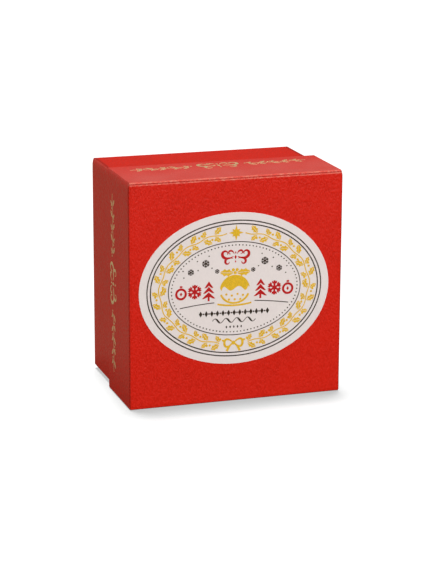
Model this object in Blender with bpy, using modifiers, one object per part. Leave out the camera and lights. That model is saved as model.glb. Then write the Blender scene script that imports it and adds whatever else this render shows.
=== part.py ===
"""Boxed christmas pudding: a shut rigid board box in two parts, with an oval paper label.

The box stands on one of its narrow sides. The lid is a cap that faces -Y and carries the label.
The base fills the lid from behind and stands out of it at the back, a little smaller all round.
Units are metres, +Z is up, and the origin is the middle of the footprint at floor level.
"""

import math

import bpy
import bmesh
from mathutils import Matrix, Vector

# Outside of the closed box
LID_WIDTH = 0.137
LID_HEIGHT = 0.142
LID_DEPTH = 0.0495
BOX_DEPTH = 0.0935

# Paper-wrapped board, and the play between lid and base on each side
WALL = 0.0018
SIDE_PLAY = 0.0004
TOP_PLAY = 0.0007
FLOOR_PLAY = 0.0003
FRONT_PLAY = 0.0004
EDGE_RADIUS = 0.0006
EDGE_SEGMENTS = 3

# Oval label, glued to the lid's face a touch off centre and a touch askew
LABEL_WIDTH = 0.1222
LABEL_HEIGHT = 0.0957
LABEL_THICKNESS = 0.0002
LABEL_GAP = 0.0003
LABEL_SHIFT_X = -0.0012
LABEL_SHIFT_Z = 0.0011
LABEL_TILT = math.radians(1.2)
LABEL_STEPS = 24

# The deepest reach of the whole object is centred on the origin
TOTAL_DEPTH = BOX_DEPTH + LABEL_GAP + LABEL_THICKNESS
FACE_Y = -TOTAL_DEPTH / 2 + LABEL_GAP + LABEL_THICKNESS
BACK_Y = TOTAL_DEPTH / 2

RED_PAPER = (0.60, 0.03, 0.02, 1.0)
RED_PAPER_BASE = (0.55, 0.03, 0.022, 1.0)
OFF_WHITE_PAPER = (0.78, 0.74, 0.70, 1.0)


def clear_scene():
    """Removes every object that the scene starts with."""
    for old in list(bpy.data.objects):
        bpy.data.objects.remove(old, do_unlink=True)


def make_collection(name):
    """A new collection in the scene."""
    collection = bpy.data.collections.new(name)
    bpy.context.scene.collection.children.link(collection)
    return collection


def paper_material(name, colour, roughness):
    """Coated paper in one colour."""
    material = bpy.data.materials.new(name)
    material.use_nodes = True
    shader = material.node_tree.nodes["Principled BSDF"]
    shader.inputs["Base Color"].default_value = colour
    shader.inputs["Roughness"].default_value = roughness
    shader.inputs["Metallic"].default_value = 0.0
    return material


def block_mesh(name, low, high):
    """An axis-aligned block between two corners."""
    low, high = Vector(low), Vector(high)
    placement = Matrix.Translation((low + high) / 2) @ Matrix.Diagonal((*(high - low), 1.0))
    solid = bmesh.new()
    bmesh.ops.create_cube(solid, size=1.0, matrix=placement)
    mesh = bpy.data.meshes.new(name)
    solid.to_mesh(mesh)
    solid.free()
    return mesh


def add_object(name, data, collection, material):
    """Puts a mesh or curve in the collection as one named piece."""
    piece = bpy.data.objects.new(name, data)
    data.materials.append(material)
    collection.objects.link(piece)
    return piece


def round_edges(piece):
    """Rounds the folded edges of the wrapped board."""
    bevel = piece.modifiers.new("folded_edges", "BEVEL")
    bevel.width = EDGE_RADIUS
    bevel.segments = EDGE_SEGMENTS
    bevel.limit_method = "ANGLE"
    bevel.angle_limit = math.radians(60)


def make_lid(collection, material):
    """The cap: five board walls, open at the back where the base goes in."""
    low = (-LID_WIDTH / 2, FACE_Y, 0.0)
    high = (LID_WIDTH / 2, FACE_Y + LID_DEPTH, LID_HEIGHT)
    mesh = block_mesh("lid", low, high)
    shell = bmesh.new()
    shell.from_mesh(mesh)
    back = [face for face in shell.faces if face.normal.y > 0.5]
    bmesh.ops.delete(shell, geom=back, context="FACES_ONLY")
    shell.to_mesh(mesh)
    shell.free()
    lid = add_object("lid", mesh, collection, material)
    board = lid.modifiers.new("board", "SOLIDIFY")
    board.thickness = WALL
    board.offset = -1.0
    board.use_even_offset = True
    round_edges(lid)
    return lid


def make_base(collection, material):
    """The closed base, solid because nothing shows its inside."""
    side = LID_WIDTH / 2 - WALL - SIDE_PLAY
    low = (-side, FACE_Y + WALL + FRONT_PLAY, WALL + FLOOR_PLAY)
    high = (side, BACK_Y, LID_HEIGHT - WALL - TOP_PLAY)
    base = add_object("base", block_mesh("base", low, high), collection, material)
    round_edges(base)
    return base


def make_label(collection, material):
    """The oval paper label, a flat outline with a thickness."""
    outline = bpy.data.curves.new("label", "CURVE")
    outline.dimensions = "2D"
    outline.fill_mode = "BOTH"
    outline.extrude = LABEL_THICKNESS / 2
    outline.resolution_u = LABEL_STEPS
    oval = outline.splines.new("BEZIER")
    oval.bezier_points.add(3)
    oval.use_cyclic_u = True
    quarter_handle = 4 / 3 * (math.sqrt(2) - 1)
    reach_x, reach_y = LABEL_WIDTH / 2, LABEL_HEIGHT / 2
    for quarter, point in enumerate(oval.bezier_points):
        turn = math.radians(90 * quarter)
        out = Vector((math.cos(turn) * reach_x, math.sin(turn) * reach_y, 0.0))
        along = Vector((-math.sin(turn) * reach_x, math.cos(turn) * reach_y, 0.0)) * quarter_handle
        point.co = out
        point.handle_left = out - along
        point.handle_right = out + along
    label = add_object("label", outline, collection, material)
    middle = LID_HEIGHT / 2 + LABEL_SHIFT_Z
    label.location = (LABEL_SHIFT_X, FACE_Y - LABEL_GAP - LABEL_THICKNESS / 2, middle)
    label.rotation_euler = (math.radians(90), LABEL_TILT, 0.0)
    return label


def main():
    clear_scene()
    box = make_collection("pudding_box")
    make_lid(box, paper_material("lid_paper", RED_PAPER, 0.55))
    make_base(box, paper_material("base_paper", RED_PAPER_BASE, 0.55))
    make_label(box, paper_material("label_paper", OFF_WHITE_PAPER, 0.6))


main()
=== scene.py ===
"""Looks of the boxed christmas pudding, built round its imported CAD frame.

The lid, the base and the label are replaced by paper-wrapped shells of the same size, with folded
edges and slightly uneven panels. The print is thin raised ink: its shapes are drawn in millimetres
on a flat sheet, and then laid on the panel that carries them. The rest is in metres.

A shape is a list of loops of points: its outline first, and then its holes.
"""

import math
from collections import namedtuple

import bmesh
import bpy
from mathutils import Matrix, Vector, noise
from mathutils.geometry import tessellate_polygon


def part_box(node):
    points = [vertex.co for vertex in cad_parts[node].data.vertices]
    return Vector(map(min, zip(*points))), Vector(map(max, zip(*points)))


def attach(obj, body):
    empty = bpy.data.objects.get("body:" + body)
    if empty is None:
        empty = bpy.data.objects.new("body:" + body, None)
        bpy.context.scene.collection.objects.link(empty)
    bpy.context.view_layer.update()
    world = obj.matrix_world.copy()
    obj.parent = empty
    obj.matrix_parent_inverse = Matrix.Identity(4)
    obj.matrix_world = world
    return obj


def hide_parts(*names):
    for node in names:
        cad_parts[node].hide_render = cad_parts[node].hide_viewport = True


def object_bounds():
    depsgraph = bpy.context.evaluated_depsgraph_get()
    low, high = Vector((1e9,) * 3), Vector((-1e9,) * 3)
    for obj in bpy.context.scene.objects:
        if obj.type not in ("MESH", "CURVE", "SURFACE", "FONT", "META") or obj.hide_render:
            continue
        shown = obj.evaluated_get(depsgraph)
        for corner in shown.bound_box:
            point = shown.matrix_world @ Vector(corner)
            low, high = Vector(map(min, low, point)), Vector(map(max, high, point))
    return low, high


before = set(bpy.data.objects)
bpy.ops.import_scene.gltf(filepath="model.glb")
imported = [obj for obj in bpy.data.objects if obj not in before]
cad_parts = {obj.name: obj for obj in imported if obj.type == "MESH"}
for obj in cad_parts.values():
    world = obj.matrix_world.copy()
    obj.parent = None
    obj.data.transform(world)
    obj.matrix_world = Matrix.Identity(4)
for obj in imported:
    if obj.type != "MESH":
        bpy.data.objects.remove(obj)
cad_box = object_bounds()

MM = 0.001

Sheet = namedtuple("Sheet", "middle across up out")
Paper = namedtuple("Paper", "colour rough gloss mottle grain_depth pore_depth")

# Camera, fitted to the photograph's edges of the box. Angles are in degrees, the lens in mm
CAMERA_PLACE = (-0.3887, -1.2056, 0.3988)
CAMERA_YAW = 17.944
CAMERA_PITCH = 14.954
CAMERA_ROLL = 0.196
CAMERA_LENS = 129.19
CAMERA_SENSOR = 36.0

# Soft boxes, which light the box only: place, the point looked at, side in metres, power in watts
LIGHTS = {
    "key": ((0.40, -1.60, 0.88), (0, 0, 0.07), 0.7, 26.0),
    "left": ((-1.5, -0.3, 0.7), (0, 0, 0.07), 0.9, 3.8),
    "top": ((0.1, 0.2, 1.6), (0, 0, 0.14), 0.8, 7.5),
    "back": ((-0.7, 1.4, 1.2), (0, 0, 0.07), 0.7, 7.0),
}

LIGHT_COLOUR = (1.0, 0.98, 0.94)

# The world's strength above, and below in front and behind, with the bands of direction where the
# one passes into the other, and a dim patch in it where the box's top is mirrored
WORLD_COLOUR = (1.0, 0.95, 0.85)
WORLD_COLOUR_BELOW = (1.0, 0.93, 0.66)
WORLD_ABOVE = 0.42
WORLD_BELOW_FRONT = 0.08
WORLD_BELOW_BACK = 0.34
WORLD_FRONT_TO_BACK = (-0.5, 0.5)
WORLD_HORIZON = (-0.1, 0.1)
DIM_TOWARDS = (0.31, 0.91, 0.27)
DIM_EDGES = (0.75, 0.95)
DIM_STRENGTH = 0.31

# The floor has a glow of its own and a sun of its own: white, with a short soft shadow
FLOOR_RADIUS = 8.0
FLOOR_GREY = 0.08
FLOOR_GLOW = 0.53
FLOOR_SUN_FROM = (0.005, 0.135, 1.0)
FLOOR_SUN_WIDTH = 14.5
FLOOR_SUN_POWER = 24.3

# A dim card round the box's foot, which only the box mirrors, as painted shadow: how far out it
# reaches, and its glow
CARD_REACH = 0.018
CARD_HEIGHT = 0.1 * MM
CARD_GLOW = 0.13

# Paper-wrapped board
FOLD_RADIUS = 1.1 * MM
FOLD_STEPS = 5
RIM_WIDTH = 1.8 * MM
WEAR_OF_FOLDS = 0.1
# Painted highlight on the rolls of the side walls
ROLL_PAINTED_HIGHLIGHT = 0.15
# Painted shade along the folds: how dark each kind of fold is made
CREASE_SHADE_UPRIGHT = 1.0
CREASE_SHADE_SIDE_FOOT = 1.0
CREASE_SHADE_FRONT_FOOT = 0.35
CREASE_SHADE_REAR_TOP = 0.5

# The share of its reach over which a mark fades out
CREASE_SHADE_FADE = 0.7
LIP_WEAR_AND_HIGHLIGHT_FADE = 0.6
LIP_CREASE_FADE = 0.8

# The painted shade beside the rolls, the panels' unevenness, the lip round the lid's face, and the
# rolls
SHADE_LINE_ASIDE = 2.0 * MM
SHADE_LINE_REACH = 1.4 * MM
LIP_SHADE_REACH = 0.45 * MM
PANEL_SINK = 0.03 * MM
PANEL_BOW = 0.25 * MM
PANEL_WAVE = 0.05 * MM
WAVES_PER_METRE = 38.0
WAVES_START = (7.0, 3.0)
LIP_START = 1.6 * MM
LIP_END = 1.95 * MM
LIP_CREASE = 1.7 * MM
LIP_CREASE_REACH = 0.6 * MM
LIP_DROPS = {"top": 0.24 * MM, "side": 0.10 * MM, "bottom": 0.06 * MM}
LIP_NOISE_PER_METRE = 60.0
LIP_UNEVEN = 0.45
ROLL_REACH = 4.6 * MM
ROLL_DROP = 0.95 * MM

# Grid lines of a panel, in mm from its edge for the close ones past the fold, and the other steps
LINES_PAST_FOLD = (1.35, 1.6, 1.7, 1.8, 1.95, 2.3, 2.9, 3.6)
PANEL_STEP = 3.0 * MM

# Edges sharper than this many degrees aren't shaded smooth
SHARP_ANGLE = 40

# Paper and ink colours
LID_RED = (0.615, 0.009, 0.001)
BASE_RED = (0.60, 0.010, 0.001)
# Paler paper for scuffs and painted highlights along the folds, then a painted sheen on the lid's top
WEAR_AND_HIGHLIGHT_RED = (0.66, 0.17, 0.12)
PAINTED_SHEEN_RED = (0.63, 0.082, 0.070)
LABEL_WHITE = (0.783, 0.718, 0.733)
# Shares of the reds that make the painted shade along the folds
LID_CREASE_SHADE_TONE = 0.62
BASE_CREASE_SHADE_TONE = 0.65
YELLOW_INK = (0.73, 0.45, 0.02)
RED_INK = (0.47, 0.003, 0.005)
DARK_INK = (0.033, 0.02, 0.014)
GOLD_FOIL = (0.88, 0.64, 0.35)

# Papers: colour, roughness, specular level, mottling, and the depths of the grain and the pores
LID_PAPER = Paper(LID_RED, 0.45, 0.27, 0.09, 0.32 * MM, 0.03 * MM)
BASE_PAPER = Paper(BASE_RED, 0.45, 0.25, 0.09, 0.32 * MM, 0.03 * MM)
LABEL_PAPER = Paper(LABEL_WHITE, 0.5, 0.3, 0.02, 0.02 * MM, 0.01 * MM)

# The papers' patterns, counted per metre: pores, grain squeezed from side to side, and clouds, with
# the share of the light tone that they bring, and how far the grain makes the roughness stray
PORES = 2600.0
GRAIN = 700.0
GRAIN_SQUEEZE = 1.7
CLOUDS = 60.0
CLOUD_SHARE = 0.5
GLOSS_SPREAD = 0.07

# Scuffs and painted highlights on the folds: their pattern, the stretch of it that counts, and how
# much they bare
SCUFF_AND_HIGHLIGHT_PATTERN = 420.0
SCUFF_AND_HIGHLIGHT_STRETCH = (0.4, 0.65)
SCUFF_AND_HIGHLIGHT_SHARES = (0.25, 1.0)

# The painted sheen on the lid's top: how far up a face looks there, from where to where in y it
# weakens, and to what
SHEEN_FACING = (0.6, 0.98)
SHEEN_FROM_TO = (-0.030, 0.003)
SHEEN_SHARES = (1.0, 0.42)
SHEEN_PATCHES = (0.75, 1.0)

# Ink and foil
INK_ROUGH = 0.5
FOIL_ROUGH = 0.4
FOIL_METAL = 0.6
INK_GRAIN = 1500.0
INK_MOTTLE = 0.12
INK_GLOSS = 0.3
INK_GLOSS_SPREAD = 0.08
INK_RELIEF = 0.02 * MM

# Label and print. Ink is sunk a little into its paper, so that nothing shows under its edge
LABEL_TURN = 1.2
LABEL_REACH = (61.1, 47.85)
LABEL_THICKNESS = 0.15 * MM
INK_UNDER = 0.02 * MM
INK_OVER = 0.05 * MM
INK_LAYERS = 5
INK_LAYER = 0.003 * MM

# Label design, in mm from the label's middle: a wreath between ovals, and a winter scene inside
BORDER_OVALS = ((56.0, 42.8), (53.85, 40.65))
WREATH_OVAL = (48.2, 35.05)
WREATH_FROM_TO = (-79, 83)
WREATH_STOPS = 15
FIELD_OVAL = (42.5, 29.4)
BEADS_OVAL = (40.5, 27.4)
RULE_WIDTH = 0.75
HAIR_WIDTH = 0.55
BEAD_RADIUS = 0.45
BEADS = 96

# One side of the snow over the scene: each flake's place and size, and the places of the dots
FLAKES = ((19.0, 16.6, 0.56), (28.4, 11.6, 0.46), (11.6, 11.4, 0.34))
DOTS = ((23.8, 12.6), (24.4, 18.3), (32.8, 8.4), (15.0, 13.6), (17.0, 21.2), (33.4, 12.6))

# The ground, and the ornaments under it: how high each lies, its steps, and how far the pen wave
# reaches to each side and turns with each mm, in radians
GROUND_HEIGHT = -7.9
ROW_HEIGHT = -15.2
ROW_STEP = 3.6
WAVE_HEIGHT = -20.0
WAVE_REACH = 13.96
WAVE_TURN = 0.9
FOOT_HEIGHT = -24.2
FOOT_STEP = 2.4

# Heights of the scene itself: the pudding, the motifs beside it and the flourish over it
PUDDING_HEIGHT = -0.6
MOTIF_HEIGHT = -0.8
FLOURISH_HEIGHT = 19.9

# A garland at full size: its stem, the side, lean and size of its leaves, and its berries' places
STEM_WIDTH = 0.65
STEM_SWAY = 0.55
STEM_POINTS = 6
LEAF_ROOT = 0.75
LEAVES = ((1, 38, 1.0), (-1, 52, 0.8))
BERRIES = ((1.9, -2.0), (2.5, -0.2))
BERRY_RADIUS = 0.72

# Gold print on the lid's walls, in mm: from the lid's rear edge, and out from the wall's middle
WALL_PRINT_BACK = 13.0
WALL_GARLAND_START = 19.5
WALL_GARLAND_END = 57.0
WALL_LEAF_WIDTH = 2.7
WALL_STROKE = 0.75


# ------------------------------------------------------------------ small helpers

def smooth_step(low, high, value):
    """0 below low, 1 above high, and an even curve between."""
    share = min(max((value - low) / (high - low), 0.0), 1.0)
    return share * share * (3 - 2 * share)


def add_piece(name, mesh, material):
    """Turns a bmesh into a smooth-shaded piece that rides on the box."""
    data = bpy.data.meshes.new(name)
    mesh.to_mesh(data)
    mesh.free()
    data.shade_smooth()
    data.set_sharp_from_angle(angle=math.radians(SHARP_ANGLE))
    data.materials.append(material)
    piece = bpy.data.objects.new(name, data)
    bpy.context.scene.collection.objects.link(piece)
    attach(piece, "root")
    return piece


def box_of(node):
    """A CAD node's lowest and highest corners."""
    return [Vector(corner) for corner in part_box(node)]


# ------------------------------------------------------------------ paper-wrapped board

def grid_lines(low, high):
    """Places of the grid lines from low to high: close together near both ends."""
    turns = [math.radians(45 - 45 * step / FOLD_STEPS) for step in range(FOLD_STEPS + 1)]
    close = [FOLD_RADIUS * (1 - math.tan(turn)) for turn in turns]
    close += [far * MM for far in LINES_PAST_FOLD]
    span = high - low
    inner = span - 2 * close[-1]
    count = round(inner / PANEL_STEP)
    even = [close[-1] + inner * step / count for step in range(1, count)]
    places = [*close, *even, *(span - far for far in reversed(close))]
    return [low + place for place in places]


def grid_box(lines):
    """A closed box whose six sides are grids through the lines of each axis."""
    box = bmesh.new()
    corners = {}

    def corner(index):
        if index not in corners:
            corners[index] = box.verts.new([lines[axis][index[axis]] for axis in range(3)])
        return corners[index]

    last = [len(places) - 1 for places in lines]
    for axis in range(3):
        first, second = (axis + 1) % 3, (axis + 2) % 3
        for end in (0, last[axis]):
            for i in range(last[first]):
                for j in range(last[second]):
                    ring = []
                    for step_i, step_j in ((0, 0), (1, 0), (1, 1), (0, 1)):
                        index = [0, 0, 0]
                        index[axis], index[first], index[second] = end, i + step_i, j + step_j
                        ring.append(corner(tuple(index)))
                    box.faces.new(ring if end else ring[::-1])
    return box


def mark(far, reach, fade):
    """How strong a mark is so far from its line: it ends at its reach, and fades over a share of it."""
    return smooth_step(0.0, fade, 1 - far / reach)


def mark_folds(box, low, high, has_lip):
    """Marks how much scuffing and painted highlight each point of a grid box carries, and how much
    painted shade runs along its folds.

    The lid's front fold at the top carries the most scuffing and painted highlight, with the lip's
    fold line under it, and the rolls of the side walls a little painted highlight. Painted shade
    runs along the other folds, above the lip's fold line, and on the base's top beside the rolls.
    """
    wear_and_highlight = box.verts.layers.float.new("wear_and_highlight")
    crease_shade = box.verts.layers.float.new("crease_shade")
    for vert in box.verts:
        ahead, behind = vert.co.y - low.y, high.y - vert.co.y
        down, up = high.z - vert.co.z, vert.co.z - low.z
        aside = min(vert.co.x - low.x, high.x - vert.co.x)
        near_fold = sorted((aside, min(ahead, behind), min(down, up)))[1]
        wear_and_highlight_share = WEAR_OF_FOLDS * max(1 - near_fold / FOLD_RADIUS, 0.0)
        # Painted shade along each kind of fold
        creases = [
            (CREASE_SHADE_UPRIGHT, max(aside, min(ahead, behind))),
            (CREASE_SHADE_SIDE_FOOT, max(aside, up)),
            (CREASE_SHADE_FRONT_FOOT, max(ahead, up)),
            (CREASE_SHADE_REAR_TOP, max(behind, down)),
        ]
        dark = max(share * mark(far, FOLD_RADIUS, CREASE_SHADE_FADE) for share, far in creases)
        # The lid's top front fold and the lip's fold line: scuffs and painted highlight. Just above
        # that line, painted shade
        if has_lip:
            wear_and_highlight_share = max(wear_and_highlight_share, mark(max(ahead, down), FOLD_RADIUS, LIP_WEAR_AND_HIGHLIGHT_FADE))
        if has_lip and ahead < FOLD_RADIUS:
            wear_and_highlight_share = max(wear_and_highlight_share, mark(abs(down - LIP_CREASE), LIP_CREASE_REACH, LIP_CREASE_FADE))
            dark = max(dark, mark(abs(down - FOLD_RADIUS), LIP_SHADE_REACH, CREASE_SHADE_FADE))
        # Painted shade on the base's top beside the rolls
        if not has_lip and down < FOLD_RADIUS:
            dark = max(dark, mark(abs(aside - SHADE_LINE_ASIDE), SHADE_LINE_REACH, CREASE_SHADE_FADE))
        # Painted highlight along the rolls of the side walls
        if aside < FOLD_RADIUS:
            wear_and_highlight_share = max(wear_and_highlight_share, ROLL_PAINTED_HIGHLIGHT * (1 - down / ROLL_REACH))
        vert[wear_and_highlight] = wear_and_highlight_share
        vert[crease_shade] = dark


def round_folds(box, low, high, radius):
    """Moves the points of a grid box so that its edges and corners are round."""
    for vert in box.verts:
        core = Vector([min(max(vert.co[a], low[a] + radius), high[a] - radius) for a in range(3)])
        vert.co = core + (vert.co - core).normalized() * radius


def panel_dip(point, low, high, axis):
    """How far a panel lies below its flat plane: room for the ink, a slight bow, the board's slow
    waves, and on the side walls the roll of the paper over their upper edge."""
    window = 1.0
    for other in range(3):
        if other != axis:
            window *= math.sin(math.pi * (point[other] - low[other]) / (high[other] - low[other]))
    window = max(window, 0.0)
    wave = 0.5 + 0.5 * noise.noise(point * WAVES_PER_METRE + Vector((axis, *WAVES_START)))
    roll = 0.0
    if axis == 0:
        roll = ROLL_DROP * max(1 - (high.z - point.z) / ROLL_REACH, 0.0) ** 2
    return PANEL_SINK + PANEL_BOW * window + PANEL_WAVE * wave * math.sqrt(window) + roll


def lip_dip(point, low, high):
    """How far the border of the lid's face lies below it: the face is a board of its own, which stands
    proud of the walls' ends, most along the top."""
    edges = (
        (high.z - point.z, LIP_DROPS["top"]),
        (point.x - low.x, LIP_DROPS["side"]),
        (high.x - point.x, LIP_DROPS["side"]),
        (point.z - low.z, LIP_DROPS["bottom"]),
    )
    uneven = 1.0 + LIP_UNEVEN * noise.noise(point * LIP_NOISE_PER_METRE)
    return uneven * max(drop * (1 - smooth_step(LIP_START, LIP_END, far)) for far, drop in edges)


def settle_panels(box, low, high, has_lip):
    """Lowers every panel's points by its dip, and the face's border by the lip. Round a fold the
    shift fades out towards the next panel."""
    for vert in box.verts:
        point = vert.co.copy()
        shift = Vector()
        for axis in range(3):
            for plane, way in ((low[axis], 1.0), (high[axis], -1.0)):
                share = max(1 - abs(point[axis] - plane) / FOLD_RADIUS, 0.0)
                if share:
                    dip = panel_dip(point, low, high, axis)
                    if has_lip and axis == 1 and way > 0:
                        dip += lip_dip(point, low, high)
                    shift[axis] += way * share * dip
        vert.co = point + shift


def hollow_from_back(box, low, high, depth):
    """Opens the back of a grid box inside a rim as wide as the board, down to the given depth."""
    rim_low, rim_high = low.copy(), high.copy()
    for axis in (0, 2):
        rim_low[axis] += RIM_WIDTH
        rim_high[axis] -= RIM_WIDTH
    inside = []
    for face in box.faces:
        middle = face.calc_center_median()
        across = rim_low.x < middle.x < rim_high.x
        if across and rim_low.z < middle.z < rim_high.z and middle.y > high.y - FOLD_RADIUS:
            inside.append(face)
    bmesh.ops.delete(box, geom=inside, context="FACES")
    mouth = [edge for edge in box.edges if edge.is_boundary]
    walls = bmesh.ops.extrude_edge_only(box, edges=mouth)["geom"]
    deep = [part for part in walls if isinstance(part, bmesh.types.BMVert)]
    bmesh.ops.translate(box, verts=deep, vec=(0, -depth, 0))
    floor_ring = [part for part in walls if isinstance(part, bmesh.types.BMEdge)]
    bmesh.ops.contextual_create(box, geom=floor_ring)
    bmesh.ops.recalc_face_normals(box, faces=box.faces)


def make_shell(name, node, material, is_lid):
    """The wrapped board shell that stands for a CAD box."""
    low, high = box_of(node)
    box = grid_box([grid_lines(low[axis], high[axis]) for axis in range(3)])
    mark_folds(box, low, high, is_lid)
    round_folds(box, low, high, FOLD_RADIUS)
    settle_panels(box, low, high, is_lid)
    if is_lid:
        hollow_from_back(box, low, high, high.y - low.y - RIM_WIDTH)
    piece = add_piece(name, box, material)
    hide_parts(node)


# ------------------------------------------------------------------ materials

def new_material(name):
    """A material with its shader."""
    material = bpy.data.materials.new(name)
    material.use_nodes = True
    return material, material.node_tree.nodes["Principled BSDF"]


def add_noise(material, scale, detail, offset=0.0, squeeze=1.0):
    """Noise over the object's own metres, squeezed from side to side where asked for."""
    tree = material.node_tree
    place = tree.nodes.new("ShaderNodeTexCoord")
    shift = tree.nodes.new("ShaderNodeMapping")
    shift.inputs["Location"].default_value = (offset, offset, offset)
    shift.inputs["Scale"].default_value = (squeeze, 1.0, 1.0)
    grain = tree.nodes.new("ShaderNodeTexNoise")
    grain.inputs["Scale"].default_value = scale
    grain.inputs["Detail"].default_value = detail
    tree.links.new(place.outputs["Object"], shift.inputs["Vector"])
    tree.links.new(shift.outputs["Vector"], grain.inputs["Vector"])
    return grain.outputs["Fac"]


def add_range(owner, source, low, high, start=0.35, end=0.65):
    """The source spread between low and high."""
    tree = owner.node_tree
    spread = tree.nodes.new("ShaderNodeMapRange")
    spread.inputs["From Min"].default_value = start
    spread.inputs["From Max"].default_value = end
    spread.inputs["To Min"].default_value = low
    spread.inputs["To Max"].default_value = high
    tree.links.new(source, spread.inputs["Value"])
    return spread.outputs["Result"]


def add_product(material, first, second):
    """Two values multiplied."""
    tree = material.node_tree
    times = tree.nodes.new("ShaderNodeMath")
    times.operation = "MULTIPLY"
    tree.links.new(first, times.inputs[0])
    tree.links.new(second, times.inputs[1])
    return times.outputs["Value"]


def add_mix(owner, factor, first, second):
    """A colour between two, each a constant or a socket."""
    tree = owner.node_tree
    mix = tree.nodes.new("ShaderNodeMix")
    mix.data_type = "RGBA"
    tree.links.new(factor, mix.inputs["Factor"])
    for socket, colour in ((mix.inputs["A"], first), (mix.inputs["B"], second)):
        if isinstance(colour, bpy.types.NodeSocket):
            tree.links.new(colour, socket)
        else:
            socket.default_value = (*colour, 1.0)
    return mix.outputs["Result"]


def add_bump(material, height, distance, under=None):
    """A relief from a height, over another relief if there is one."""
    tree = material.node_tree
    bump = tree.nodes.new("ShaderNodeBump")
    bump.inputs["Distance"].default_value = distance
    tree.links.new(height, bump.inputs["Height"])
    if under:
        tree.links.new(under, bump.inputs["Normal"])
    return bump.outputs["Normal"]


def scaled(colour, factor):
    """The colour made lighter or darker."""
    return tuple(channel * factor for channel in colour)


def add_part(material, output, axis):
    """One axis of the object's own normal or place."""
    tree = material.node_tree
    place = tree.nodes.new("ShaderNodeTexCoord")
    parts = tree.nodes.new("ShaderNodeSeparateXYZ")
    tree.links.new(place.outputs[output], parts.inputs[0])
    return parts.outputs[axis]


def add_attribute(material, name):
    """A value that the mesh holds at each of its points."""
    attribute = material.node_tree.nodes.new("ShaderNodeAttribute")
    attribute.attribute_name = name
    return attribute.outputs["Fac"]


def painted_sheen_share(material, cloud):
    """How much painted sheen the paper has: on faces that look up, most in front, in faint patches."""
    facing = add_range(material, add_part(material, "Normal", "Z"), 0.0, 1.0, *SHEEN_FACING)
    place = add_part(material, "Object", "Y")
    forward = add_range(material, place, *SHEEN_SHARES, *SHEEN_FROM_TO)
    patches = add_product(material, forward, add_range(material, cloud, *SHEEN_PATCHES))
    return add_product(material, facing, patches)


def scuff_and_highlight_share(material):
    """How far the paler colour of scuffs and painted highlights shows: on marked folds, in patches."""
    pattern = add_noise(material, SCUFF_AND_HIGHLIGHT_PATTERN, 3.0, offset=0.53)
    bare = add_range(material, pattern, *SCUFF_AND_HIGHLIGHT_SHARES, *SCUFF_AND_HIGHLIGHT_STRETCH)
    return add_product(material, add_attribute(material, "wear_and_highlight"), bare)


def paper_material(name, paper, folds=None, sheen=None):
    """Printed paper: pores and a coarser grain in relief and gloss, faint mottling, and where asked
    for, folds with painted shade and with scuffs and painted highlights, and a top made paler by a
    painted sheen."""
    material, shader = new_material(name)
    tree = material.node_tree
    pores = add_noise(material, PORES, 2.0)
    grain = add_noise(material, GRAIN, 2.0, offset=0.17, squeeze=GRAIN_SQUEEZE)
    cloud = add_noise(material, CLOUDS, 3.0, offset=0.31)
    dark = scaled(paper.colour, 1 - paper.mottle)
    light = scaled(paper.colour, 1 + paper.mottle)
    tone = add_mix(material, add_range(material, grain, 0.0, 1.0), dark, light)
    tone = add_mix(material, add_range(material, cloud, 0.0, CLOUD_SHARE), tone, light)
    # Painted shade along the folds
    if folds:
        tone = add_mix(material, add_attribute(material, "crease_shade"), tone, folds[0])
    # A painted sheen on the faces that look up
    if sheen:
        tone = add_mix(material, painted_sheen_share(material, cloud), tone, sheen)
    # Scuffs and painted highlights on the folds
    if folds:
        tone = add_mix(material, scuff_and_highlight_share(material), tone, folds[1])
    rough = add_range(material, grain, paper.rough - GLOSS_SPREAD, paper.rough + GLOSS_SPREAD)
    relief = add_bump(material, grain, paper.grain_depth)
    relief = add_bump(material, pores, paper.pore_depth, relief)
    tree.links.new(tone, shader.inputs["Base Color"])
    tree.links.new(rough, shader.inputs["Roughness"])
    tree.links.new(relief, shader.inputs["Normal"])
    shader.inputs["Specular IOR Level"].default_value = paper.gloss
    return material


def ink_material(name, colour, rough, metal=0.0):
    """Ink or foil on paper: slightly uneven in tone and gloss."""
    material, shader = new_material(name)
    tree = material.node_tree
    grain = add_noise(material, INK_GRAIN, 3.0, offset=0.41)
    dark, light = scaled(colour, 1 - INK_MOTTLE), scaled(colour, 1 + INK_MOTTLE)
    tone = add_mix(material, add_range(material, grain, 0.0, 1.0), dark, light)
    uneven = add_range(material, grain, rough - INK_GLOSS_SPREAD, rough + INK_GLOSS_SPREAD)
    tree.links.new(tone, shader.inputs["Base Color"])
    tree.links.new(uneven, shader.inputs["Roughness"])
    tree.links.new(add_bump(material, grain, INK_RELIEF), shader.inputs["Normal"])
    shader.inputs["Metallic"].default_value = metal
    shader.inputs["Specular IOR Level"].default_value = INK_GLOSS
    return material


# ------------------------------------------------------------------ shapes, in mm

def placed(shape, x=0.0, y=0.0, turn=0.0, size=1.0, flip=False):
    """A shape mirrored top to bottom if flipped, scaled, turned by degrees and moved."""
    cos = math.cos(math.radians(turn)) * size
    sin = math.sin(math.radians(turn)) * size
    way = -1 if flip else 1
    moved = []
    for loop in shape:
        moved.append([(x + a * cos - b * way * sin, y + a * sin + b * way * cos) for a, b in loop])
    return moved


def all_placed(shapes, **move):
    """Several shapes moved together."""
    return [placed(shape, **move) for shape in shapes]


def both_sides(shapes):
    """The shapes with their mirror images across the upright axis."""
    return shapes + all_placed(shapes, turn=180, flip=True)


def oval(reach_x, reach_y, start=0.0, end=360.0, steps=96):
    """Points along an oval from one angle to another, in degrees."""
    turns = [math.radians(start + (end - start) * i / steps) for i in range(steps + 1)]
    return [(reach_x * math.cos(t), reach_y * math.sin(t)) for t in turns]


def disc(radius, x=0.0, y=0.0, points=14):
    """A round spot."""
    return [[(x + a, y + b) for a, b in oval(radius, radius, steps=points)[:-1]]]


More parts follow.
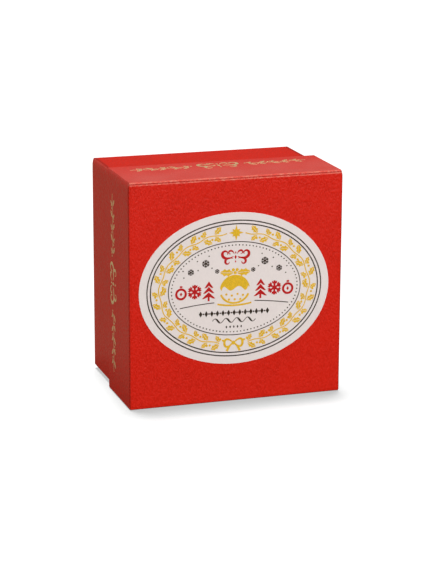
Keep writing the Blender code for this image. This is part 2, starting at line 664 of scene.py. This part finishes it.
def closed_line(path, width):
    """A line of one width round a closed path that runs anticlockwise."""
    outside, inside = [], []
    for i, (x, y) in enumerate(path):
        before, after = path[i - 1], path[(i + 1) % len(path)]
        along = Vector((after[0] - before[0], after[1] - before[1])).normalized()
        out_x, out_y = along.y * width / 2, -along.x * width / 2
        outside.append((x + out_x, y + out_y))
        inside.append((x - out_x, y - out_y))
    return [outside, inside]


def ribbon(path, widths):
    """A stroke along a path, as wide at each point as its width says."""
    left, right = [], []
    for i, (x, y) in enumerate(path):
        before, after = path[max(i - 1, 0)], path[min(i + 1, len(path) - 1)]
        along = Vector((after[0] - before[0], after[1] - before[1])).normalized()
        half = widths[i] / 2
        left.append((x - along.y * half, y + along.x * half))
        right.append((x + along.y * half, y - along.x * half))
    return [right + left[::-1]]


def line(path, width):
    """A stroke of one width."""
    return ribbon(path, [width] * len(path))


def length_of(path):
    """The length of a path."""
    return sum(math.dist(start, end) for start, end in zip(path, path[1:]))


def walk(path, count):
    """A path's ends and the stops between, at even steps, each with the way the path runs there. The
    steps are a hair short, so that rounding doesn't lose the last stop."""
    hair = 0.000001
    step = length_of(path) / count * (1 - hair)
    stops = []
    ahead = 0.0
    for (x0, y0), (x1, y1) in zip(path, path[1:]):
        length = math.hypot(x1 - x0, y1 - y0)
        turn = math.degrees(math.atan2(y1 - y0, x1 - x0))
        while ahead <= length:
            share = ahead / length
            stops.append((x0 + (x1 - x0) * share, y0 + (y1 - y0) * share, turn))
            ahead += step
        ahead -= length
    return stops


def beside(x, y, turn, far, ahead=0.0):
    """The point that lies to the left of a stop on a path, or to the left and ahead of it."""
    cos, sin = math.cos(math.radians(turn)), math.sin(math.radians(turn))
    return x - far * sin + ahead * cos, y + far * cos + ahead * sin


# ------------------------------------------------------------------ motifs, in mm

def holly_leaf(length=5.8, width=4.0, spines=3, notch=0.42, fullness=0.6, slit=0.1):
    """A leaf from its stalk along x, as two halves with the middle vein bare between them. A notch is
    the share of the width that is lost between two spines."""
    halves = []
    steps = spines * 4
    for side in (1, -1):
        rim = []
        for i in range(1, steps):
            share = i / steps
            hollow = abs(math.sin(math.pi * spines * share))
            reach = width / 2 * math.sin(math.pi * share) ** fullness * (1 - notch * hollow)
            rim.append((length * share, side * max(reach, slit * 1.5)))
        halves.append([[(0.0, side * slit), *rim, (length, side * slit)]])
    return halves


def garland(path, count, size=1.0, leaf_width=4.0):
    """Holly along a path: a waving stem, and at each stop a leaf on either side and berries."""
    shapes = []
    stem = []
    for i, (x, y, turn) in enumerate(walk(path, count * STEM_POINTS)):
        sway = STEM_SWAY * size * math.sin(math.pi * i / STEM_POINTS)
        stem.append(beside(x, y, turn, sway))
    shapes.append(line(stem, STEM_WIDTH * size))
    leaf = holly_leaf(width=leaf_width)
    for i, (x, y, turn) in enumerate(walk(path, count)[:-1]):
        side = 1 if i % 2 else -1
        for way, lean, share in LEAVES:
            root = beside(x, y, turn, side * way * LEAF_ROOT * size)
            lie = turn + side * way * lean
            shapes += all_placed(leaf, x=root[0], y=root[1], turn=lie, size=size * share)
        for far, ahead in BERRIES:
            spot = beside(x, y, turn, -side * far * size, ahead * size)
            shapes.append(disc(BERRY_RADIUS * size, *spot, points=10))
    return shapes


def scroll(length, turn, width, ends=0.25, steps=36):
    """A pen stroke along x that swells between its thin ends, and winds ever tighter until it has
    turned by the degrees."""
    path = [(0.0, 0.0)]
    step = length / steps
    for i in range(steps):
        heading = math.radians(turn) * ((i + 0.5) / steps) ** 2
        x, y = path[-1]
        path.append((x + step * math.cos(heading), y + step * math.sin(heading)))
    swell = [ends + (1 - ends) * math.sin(math.pi * i / steps) ** 1.5 for i in range(steps + 1)]
    return ribbon(path, [width * part for part in swell])


def lozenge(wide, high):
    """An upright diamond."""
    return [[(wide / 2, 0.0), (0.0, high / 2), (-wide / 2, 0.0), (0.0, -high / 2)]]


def block(wide, low, high):
    """A rectangle across the upright axis."""
    return [[(-wide / 2, low), (wide / 2, low), (wide / 2, high), (-wide / 2, high)]]


def flourish(stroke=1.0):
    """A pen ornament: three scrolls on either side of three diamonds. The stroke makes the scrolls
    thicker or thinner."""
    right = [
        placed(scroll(17.0, 330, 2.1 * stroke), x=1.6, y=0.4, turn=-24),
        placed(scroll(12.0, 300, 1.7 * stroke), x=1.8, y=-0.9, turn=12, flip=True),
        placed(scroll(8.0, 280, 1.4 * stroke), x=1.0, y=2.2, turn=62, flip=True),
    ]
    outer = lozenge(1.1, 2.0)
    return both_sides(right) + [lozenge(1.8, 3.2), placed(outer, y=3.2), placed(outer, y=-3.2)]


def snowflake(reach=4.3, arms=6, half=0.6, fork=2.9, twig=1.1):
    """A flake of one outline, each arm with a pair of twigs."""
    lean = math.pi / 3
    spread = half / math.sin(lean)
    tip_x, tip_y = twig * math.cos(lean), half + twig * math.sin(lean)
    upper = [
        (half / math.tan(math.pi / arms), half),
        (fork - spread, half),
        (fork - spread + tip_x, tip_y),
        (fork + spread + tip_x, tip_y),
        (fork + spread, half),
        (reach, half),
    ]
    arm = [(x, -y) for x, y in upper[1:]] + [(x, y) for x, y in reversed(upper)]
    outline = []
    for i in range(arms):
        outline += placed([arm], turn=90 + 360 * i / arms)[0]
    return [[outline]]


def fir_tree(height=8.6, width=6.0, tiers=3, stroke=1.5, tip=0.9):
    """A tree of nested chevrons, each as wide at its tips as the tip, over a short trunk."""
    shapes = []
    trunk_wide, trunk_bare, trunk_high = 0.9, 1.6, 2.0
    rise = (height - trunk_bare) / tiers
    for tier in range(tiers):
        top = height / 2 - tier * rise
        half = width / 2 * (0.5 + 0.5 * (tier + 1) / tiers)
        foot = top - rise * 1.25
        notch = top - stroke * 1.3
        right = [(half, foot), (half - tip, foot)]
        left = [(tip - half, foot), (-half, foot)]
        shapes.append([[(0, top), *right, (0, notch), *left]])
    return [*shapes, block(trunk_wide, -height / 2, trunk_high - height / 2)]


def bauble(radius=2.9, stroke=1.35):
    """A hanging glass ball: a ring, a cap and a diamond inside."""
    middle = -0.9
    cap_wide, cap_high, cap_gap = 1.6, 1.1, 0.25
    ball = placed(closed_line(oval(radius, radius, steps=28)[:-1], stroke), y=middle)
    foot = radius + stroke / 2 + middle + cap_gap
    return [ball, block(cap_wide, foot, foot + cap_high), placed(lozenge(1.6, 2.4), y=middle)]


def pudding_emblem():
    """A round pudding with an icing cap, fruit and a holly sprig, about 19 mm across."""
    body = oval(7.7, 7.0, 200, 340, 28)
    edge = line(body, 1.0)
    dome = oval(7.9, 7.6, 8, 172, 30)
    turns = [math.pi * i / 40 for i in range(41)]
    drips = [(7.0 * math.cos(t), 0.6 + 1.1 * math.cos(5 * t)) for t in turns]
    icing = [[*dome, *reversed(drips)]]
    fruit = [disc(0.62, x, -2.4 - 0.7 * (i % 2), 10) for i, x in enumerate((-4.4, -1.5, 1.5, 4.4))]
    fruit += [disc(0.62, x, -5.1, 10) for x in (-3.0, 0.1, 3.0)]
    dish = line([(x, -8.2 + 0.012 * x * x) for x in range(-9, 10)], 0.9)
    sprig = both_sides(all_placed(holly_leaf(7.0, 4.4), x=1.0, y=8.6, turn=4))
    berries = [disc(0.85, x, y, 12) for x, y in ((0.0, 8.7), (-1.0, 10.2), (1.0, 10.2))]
    return [edge, icing, dish, *fruit, *sprig, *berries]


# ------------------------------------------------------------------ ink

def lay_ink(mesh, shape, put, height):
    """Adds one shape to a bmesh as a thin slab of ink on its sheet."""
    under, over, flat = [], [], []
    for loop in shape:
        under += [mesh.verts.new(put(x, y, -INK_UNDER)) for x, y in loop]
        over += [mesh.verts.new(put(x, y, height)) for x, y in loop]
        flat.append([Vector((x, y, 0.0)) for x, y in loop])
    for a, b, c in tessellate_polygon(flat):
        mesh.faces.new((over[a], over[b], over[c]))
        mesh.faces.new((under[c], under[b], under[a]))
    start = 0
    for loop in shape:
        count = len(loop)
        for i in range(count):
            j = (i + 1) % count
            mesh.faces.new((under[start + i], under[start + j], over[start + j], over[start + i]))
        start += count


def make_print(name, prints, material):
    """One colour of print as one piece: pairs of shapes and the function that lays them down.
    Shapes that follow each other differ a little in height, so that no faces coincide where they
    cross."""
    mesh = bmesh.new()
    for shapes, put in prints:
        for number, shape in enumerate(shapes):
            lay_ink(mesh, shape, put, INK_OVER + INK_LAYER * (number % INK_LAYERS))
    bmesh.ops.recalc_face_normals(mesh, faces=mesh.faces)
    add_piece(name, mesh, material)


def put_on_lid(sheet, above=0.0):
    """The function that lays a point, in mm on the sheet, at a height over the lid's panel."""
    low, high = box_of("lid")
    axis = max(range(3), key=lambda a: abs(sheet.out[a]))

    def put(x, y, lift):
        point = sheet.middle + sheet.across * (x * MM) + sheet.up * (y * MM)
        dip = panel_dip(point, low, high, axis)
        if axis == 1:
            dip += lip_dip(point, low, high)
        return point + sheet.out * (above + lift - dip)

    return put


# ------------------------------------------------------------------ label

def label_sheet():
    """The label's middle on the lid's face, and its own directions, a touch askew."""
    low, high = box_of("label")
    middle = Vector(((low.x + high.x) / 2, box_of("lid")[0].y, (low.z + high.z) / 2))
    turn = Matrix.Rotation(math.radians(LABEL_TURN), 3, "Y")
    return Sheet(middle, turn @ Vector((1, 0, 0)), turn @ Vector((0, 0, 1)), Vector((0, -1, 0)))


def make_label(material, points=160, rings=20):
    """The oval paper, a grid of rings that follows the lid's face."""
    put = put_on_lid(label_sheet())
    mesh = bmesh.new()
    layers = []
    for lift in (0.0, LABEL_THICKNESS):
        rows = []
        for i in range(1, rings + 1):
            path = oval(LABEL_REACH[0] * i / rings, LABEL_REACH[1] * i / rings, steps=points)[:-1]
            rows.append([mesh.verts.new(put(x, y, lift)) for x, y in path])
        layers.append((mesh.verts.new(put(0, 0, lift)), rows))
    for i in range(points):
        j = (i + 1) % points
        for middle, rows in layers:
            mesh.faces.new((middle, rows[0][i], rows[0][j]))
            for inner, outer in zip(rows, rows[1:]):
                mesh.faces.new((inner[i], outer[i], outer[j], inner[j]))
        under, over = layers[0][1][-1], layers[1][1][-1]
        mesh.faces.new((under[i], under[j], over[j], over[i]))
    bmesh.ops.recalc_face_normals(mesh, faces=mesh.faces)
    piece = add_piece("label_paper", mesh, material)
    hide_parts("label")


def bow():
    """A ribbon bow, with two loops and two tails. The loops' ends lie apart under the knot."""
    apart = 0.04
    turns = [math.pi * (apart + (1 - 2 * apart) * i / 24) for i in range(25)]
    loop = [(6.2 * math.sin(t), 2.6 * math.sin(2 * t)) for t in turns]
    tail = [(0.9 * i, -0.16 * i * i - 0.3 * i) for i in range(6)]
    swell = [0.7 + 0.9 * math.sin(t) for t in turns]
    right = [ribbon(loop, swell), ribbon(tail, [0.7 + 0.2 * i for i in range(6)])]
    return both_sides(right) + [disc(1.3)]


def star(reach=4.4, waist=1.9, points=8):
    """A star of long and short points in turn."""
    outline = []
    for i in range(points * 2):
        far = waist if i % 2 else reach * (1.0 if i % 4 == 0 else 0.68)
        turn = math.radians(90) + math.pi * i / points
        outline.append((far * math.cos(turn), far * math.sin(turn)))
    return [outline]


def rule_shapes():
    """The fine dark ovals: the double border, and the ring and beads round the field."""
    shapes = [closed_line(oval(*reach, steps=120)[:-1], RULE_WIDTH) for reach in BORDER_OVALS]
    shapes.append(closed_line(oval(*FIELD_OVAL, steps=120)[:-1], HAIR_WIDTH))
    for x, y, _ in walk(oval(*BEADS_OVAL, steps=120), BEADS)[:-1]:
        shapes.append(disc(BEAD_RADIUS, x, y, 8))
    return shapes


def winter_shapes():
    """The ground on both sides of the pudding, and the falling snow."""
    ground = [(x, GROUND_HEIGHT - 0.0023 * x * x) for x in range(13, 36, 2)]
    shapes = [line(ground, HAIR_WIDTH)]
    for x, y, size in FLAKES:
        shapes += all_placed(snowflake(), x=x, y=y, size=size)
    for x, y in DOTS:
        shapes.append(disc(BEAD_RADIUS, x, y, 8))
    return both_sides(shapes)


def pen_wave(high=1.4, thin=0.4, swell=0.75):
    """A waving pen stroke, thick where it runs down."""
    places = [WAVE_REACH * (i / 60 - 1) for i in range(121)]
    wave = [(x, high * math.sin(x * WAVE_TURN)) for x in places]
    return ribbon(wave, [thin + swell * max(-math.cos(x * WAVE_TURN), 0.0) for x in places])


def foot_shapes():
    """Under the scene, a row of diamonds and beads, a pen wave and a few small diamonds."""
    shapes = [placed(lozenge(2.3, 3.8), x=ROW_STEP * i, y=ROW_HEIGHT) for i in range(-6, 7)]
    shapes += [disc(0.55, ROW_STEP * (i + 0.5), ROW_HEIGHT, 8) for i in range(-6, 6)]
    shapes.append(placed(pen_wave(), y=WAVE_HEIGHT))
    return shapes + [placed(lozenge(1.2, 1.9), x=FOOT_STEP * i, y=FOOT_HEIGHT) for i in range(-2, 3)]


def dark_shapes():
    """The dark print: rules, ground and snow, and the ornaments at the foot."""
    return rule_shapes() + winter_shapes() + foot_shapes()


def yellow_shapes():
    """The holly wreath with a bow below and a star above, and the pudding in the middle."""
    path = oval(*WREATH_OVAL, *WREATH_FROM_TO, steps=90)
    shapes = both_sides(garland(path, WREATH_STOPS, 1.04))
    shapes += all_placed(bow(), y=0.6 - WREATH_OVAL[1], size=0.95)
    shapes.append(placed(star(), y=WREATH_OVAL[1], size=1.15))
    return shapes + all_placed(pudding_emblem(), y=PUDDING_HEIGHT, size=1.22)


def red_shapes():
    """The winter motifs on both sides of the pudding, and the flourish over it."""
    shapes = all_placed(fir_tree(), x=16.7, y=MOTIF_HEIGHT, size=1.45)
    shapes += all_placed(snowflake(), x=25.7, y=MOTIF_HEIGHT, size=1.05)
    shapes += all_placed(bauble(), x=34.4, y=MOTIF_HEIGHT, size=1.05)
    return both_sides(shapes) + all_placed(flourish(), y=FLOURISH_HEIGHT, size=0.88)


def print_label(inks):
    """Prints the label in its three inks."""
    put = put_on_lid(label_sheet(), LABEL_THICKNESS)
    colours = {"dark": dark_shapes(), "yellow": yellow_shapes(), "red": red_shapes()}
    for colour, shapes in colours.items():
        make_print(f"label_{colour}_print", [(shapes, put)], inks[colour])


# ------------------------------------------------------------------ gold print

def wall_sheets():
    """A sheet on each of the lid's four walls, with its middle where the print's middle is."""
    low, high = box_of("lid")
    middle = (low + high) / 2
    middle.y = high.y - WALL_PRINT_BACK * MM
    up = Vector((0, 1, 0))
    reach = (high - low) / 2
    sheets = []
    for out in (Vector((0, 0, 1)), Vector((0, 0, -1)), Vector((-1, 0, 0)), Vector((1, 0, 0))):
        place = middle + Vector([reach[a] * out[a] for a in range(3)])
        sheets.append(Sheet(place, out.cross(up), up, out))
    return sheets


def wall_shapes():
    """A flourish between two garlands that run out from it."""
    span = WALL_GARLAND_END - WALL_GARLAND_START
    path = [(WALL_GARLAND_START + span * i / 30, 0.0) for i in range(31)]
    holly = garland(path, 5, 0.95, leaf_width=WALL_LEAF_WIDTH)
    return both_sides(holly) + all_placed(flourish(WALL_STROKE), size=1.3)


def print_walls(foil):
    """Prints every wall of the lid in gold."""
    prints = [(wall_shapes(), put_on_lid(sheet)) for sheet in wall_sheets()]
    make_print("wall_gold_print", prints, foil)


# ------------------------------------------------------------------ stage

def make_camera():
    """The camera where the photograph was taken from."""
    data = bpy.data.cameras.new("camera")
    data.lens = CAMERA_LENS
    data.sensor_width = CAMERA_SENSOR
    camera = bpy.data.objects.new("camera", data)
    turn = (
        Matrix.Rotation(math.radians(-CAMERA_YAW), 4, "Z")
        @ Matrix.Rotation(math.radians(90 - CAMERA_PITCH), 4, "X")
        @ Matrix.Rotation(math.radians(CAMERA_ROLL), 4, "Z")
    )
    camera.matrix_world = Matrix.Translation(CAMERA_PLACE) @ turn
    bpy.context.scene.collection.objects.link(camera)
    bpy.context.scene.camera = camera


def make_light(name, kind, place, aim, power):
    """A light that looks at a point."""
    data = bpy.data.lights.new(name, kind)
    data.energy = power
    light = bpy.data.objects.new(name, data)
    light.location = place
    light.rotation_euler = (Vector(aim) - Vector(place)).to_track_quat("-Z", "Y").to_euler()
    bpy.context.scene.collection.objects.link(light)
    return light


def make_world():
    """Even light from all round, with less from below and from a patch behind the box."""
    world = bpy.data.worlds.new("studio")
    world.use_nodes = True
    bpy.context.scene.world = world
    tree = world.node_tree
    place = tree.nodes.new("ShaderNodeTexCoord")
    parts = tree.nodes.new("ShaderNodeSeparateXYZ")
    tree.links.new(place.outputs["Generated"], parts.inputs[0])
    below = (WORLD_BELOW_FRONT, WORLD_BELOW_BACK)
    floor_glow = add_range(world, parts.outputs["Y"], *below, *WORLD_FRONT_TO_BACK)
    height = add_range(world, parts.outputs["Z"], 0.0, 1.0, *WORLD_HORIZON)
    open_sky = tree.nodes.new("ShaderNodeMix")
    tree.links.new(height, open_sky.inputs["Factor"])
    tree.links.new(floor_glow, open_sky.inputs["A"])
    open_sky.inputs["B"].default_value = WORLD_ABOVE
    nearness = tree.nodes.new("ShaderNodeVectorMath")
    nearness.operation = "DOT_PRODUCT"
    nearness.inputs[1].default_value = Vector(DIM_TOWARDS).normalized()
    tree.links.new(place.outputs["Generated"], nearness.inputs[0])
    dimming = add_range(world, nearness.outputs["Value"], 0.0, DIM_STRENGTH, *DIM_EDGES)
    dimmed = tree.nodes.new("ShaderNodeMath")
    dimmed.operation = "SUBTRACT"
    tree.links.new(open_sky.outputs["Result"], dimmed.inputs[0])
    tree.links.new(dimming, dimmed.inputs[1])
    back = tree.nodes["Background"]
    colour = add_mix(world, height, WORLD_COLOUR_BELOW, WORLD_COLOUR)
    tree.links.new(colour, back.inputs["Color"])
    tree.links.new(dimmed.outputs["Value"], back.inputs["Strength"])


def make_floor():
    """The pale studio floor."""
    bpy.ops.mesh.primitive_circle_add(
        vertices=96, radius=FLOOR_RADIUS, fill_type="NGON", location=(0, 0, 0)
    )
    floor = bpy.context.object
    floor.name = "floor"
    material, shader = new_material("floor")
    shader.inputs["Base Color"].default_value = (FLOOR_GREY, FLOOR_GREY, FLOOR_GREY, 1)
    shader.inputs["Roughness"].default_value = 0.9
    shader.inputs["Specular IOR Level"].default_value = 0.1
    shader.inputs["Emission Color"].default_value = (1, 1, 1, 1)
    shader.inputs["Emission Strength"].default_value = FLOOR_GLOW
    floor.data.materials.append(material)
    floor.visible_glossy = False
    floor.visible_diffuse = False
    return floor


def make_shadow_card():
    """The dim card round the foot, hidden from the camera: a painted shadow, which darkens the walls'
    lower ends as the box's own shadow on a floor would."""
    low, high = (Vector(corner) for corner in cad_box)
    reach = Vector((CARD_REACH, CARD_REACH, 0))
    size = high - low + 2 * reach
    bpy.ops.mesh.primitive_plane_add(size=1.0, location=(*((low + high) / 2).xy, CARD_HEIGHT))
    card = bpy.context.object
    card.name = "card"
    card.scale = (size.x, size.y, 1.0)
    material, shader = new_material("painted_shadow_card")
    shader.inputs["Base Color"].default_value = (0, 0, 0, 1)
    shader.inputs["Specular IOR Level"].default_value = 0.0
    shader.inputs["Emission Color"].default_value = (*WORLD_COLOUR_BELOW, 1)
    shader.inputs["Emission Strength"].default_value = CARD_GLOW
    card.data.materials.append(material)
    card.visible_camera = False
    card.visible_shadow = False


def make_lights(floor):
    """The soft boxes, which leave out the floor, and the sun, which lights the floor alone."""
    floor_only = bpy.data.collections.new("floor_only")
    floor_only.objects.link(floor)
    all_but_floor = bpy.data.collections.new("all_but_floor")
    all_but_floor.objects.link(floor)
    all_but_floor.collection_objects[0].light_linking.link_state = "EXCLUDE"
    for name, (place, aim, size, power) in LIGHTS.items():
        box = make_light(name, "AREA", place, aim, power)
        box.data.size = size
        box.data.color = LIGHT_COLOUR
        box.light_linking.receiver_collection = all_but_floor
    sun = make_light("floor_sun", "SUN", FLOOR_SUN_FROM, (0, 0, 0), FLOOR_SUN_POWER)
    sun.data.angle = math.radians(FLOOR_SUN_WIDTH)
    sun.light_linking.receiver_collection = floor_only


def main():
    bpy.context.scene.view_settings.view_transform = "Standard"
    # Each pair: the painted shade along the folds, and the paler colour of scuffs and painted
    # highlights
    lid_folds = (scaled(LID_RED, LID_CREASE_SHADE_TONE), WEAR_AND_HIGHLIGHT_RED)
    base_folds = (scaled(BASE_RED, BASE_CREASE_SHADE_TONE), WEAR_AND_HIGHLIGHT_RED)
    lid_paper = paper_material("lid_red_paper", LID_PAPER, lid_folds, PAINTED_SHEEN_RED)
    base_paper = paper_material("base_red_paper", BASE_PAPER, base_folds)
    label_stock = paper_material("label_white_paper", LABEL_PAPER)
    inks = {
        "dark": ink_material("dark_ink", DARK_INK, INK_ROUGH),
        "yellow": ink_material("yellow_ink", YELLOW_INK, INK_ROUGH),
        "red": ink_material("red_ink", RED_INK, INK_ROUGH),
    }
    make_shell("lid_wrap", "lid", lid_paper, True)
    make_shell("base_wrap", "base", base_paper, False)
    make_label(label_stock)
    print_label(inks)
    print_walls(ink_material("gold_foil", GOLD_FOIL, FOIL_ROUGH, FOIL_METAL))
    make_camera()
    make_world()
    make_shadow_card()
    make_lights(make_floor())


main()
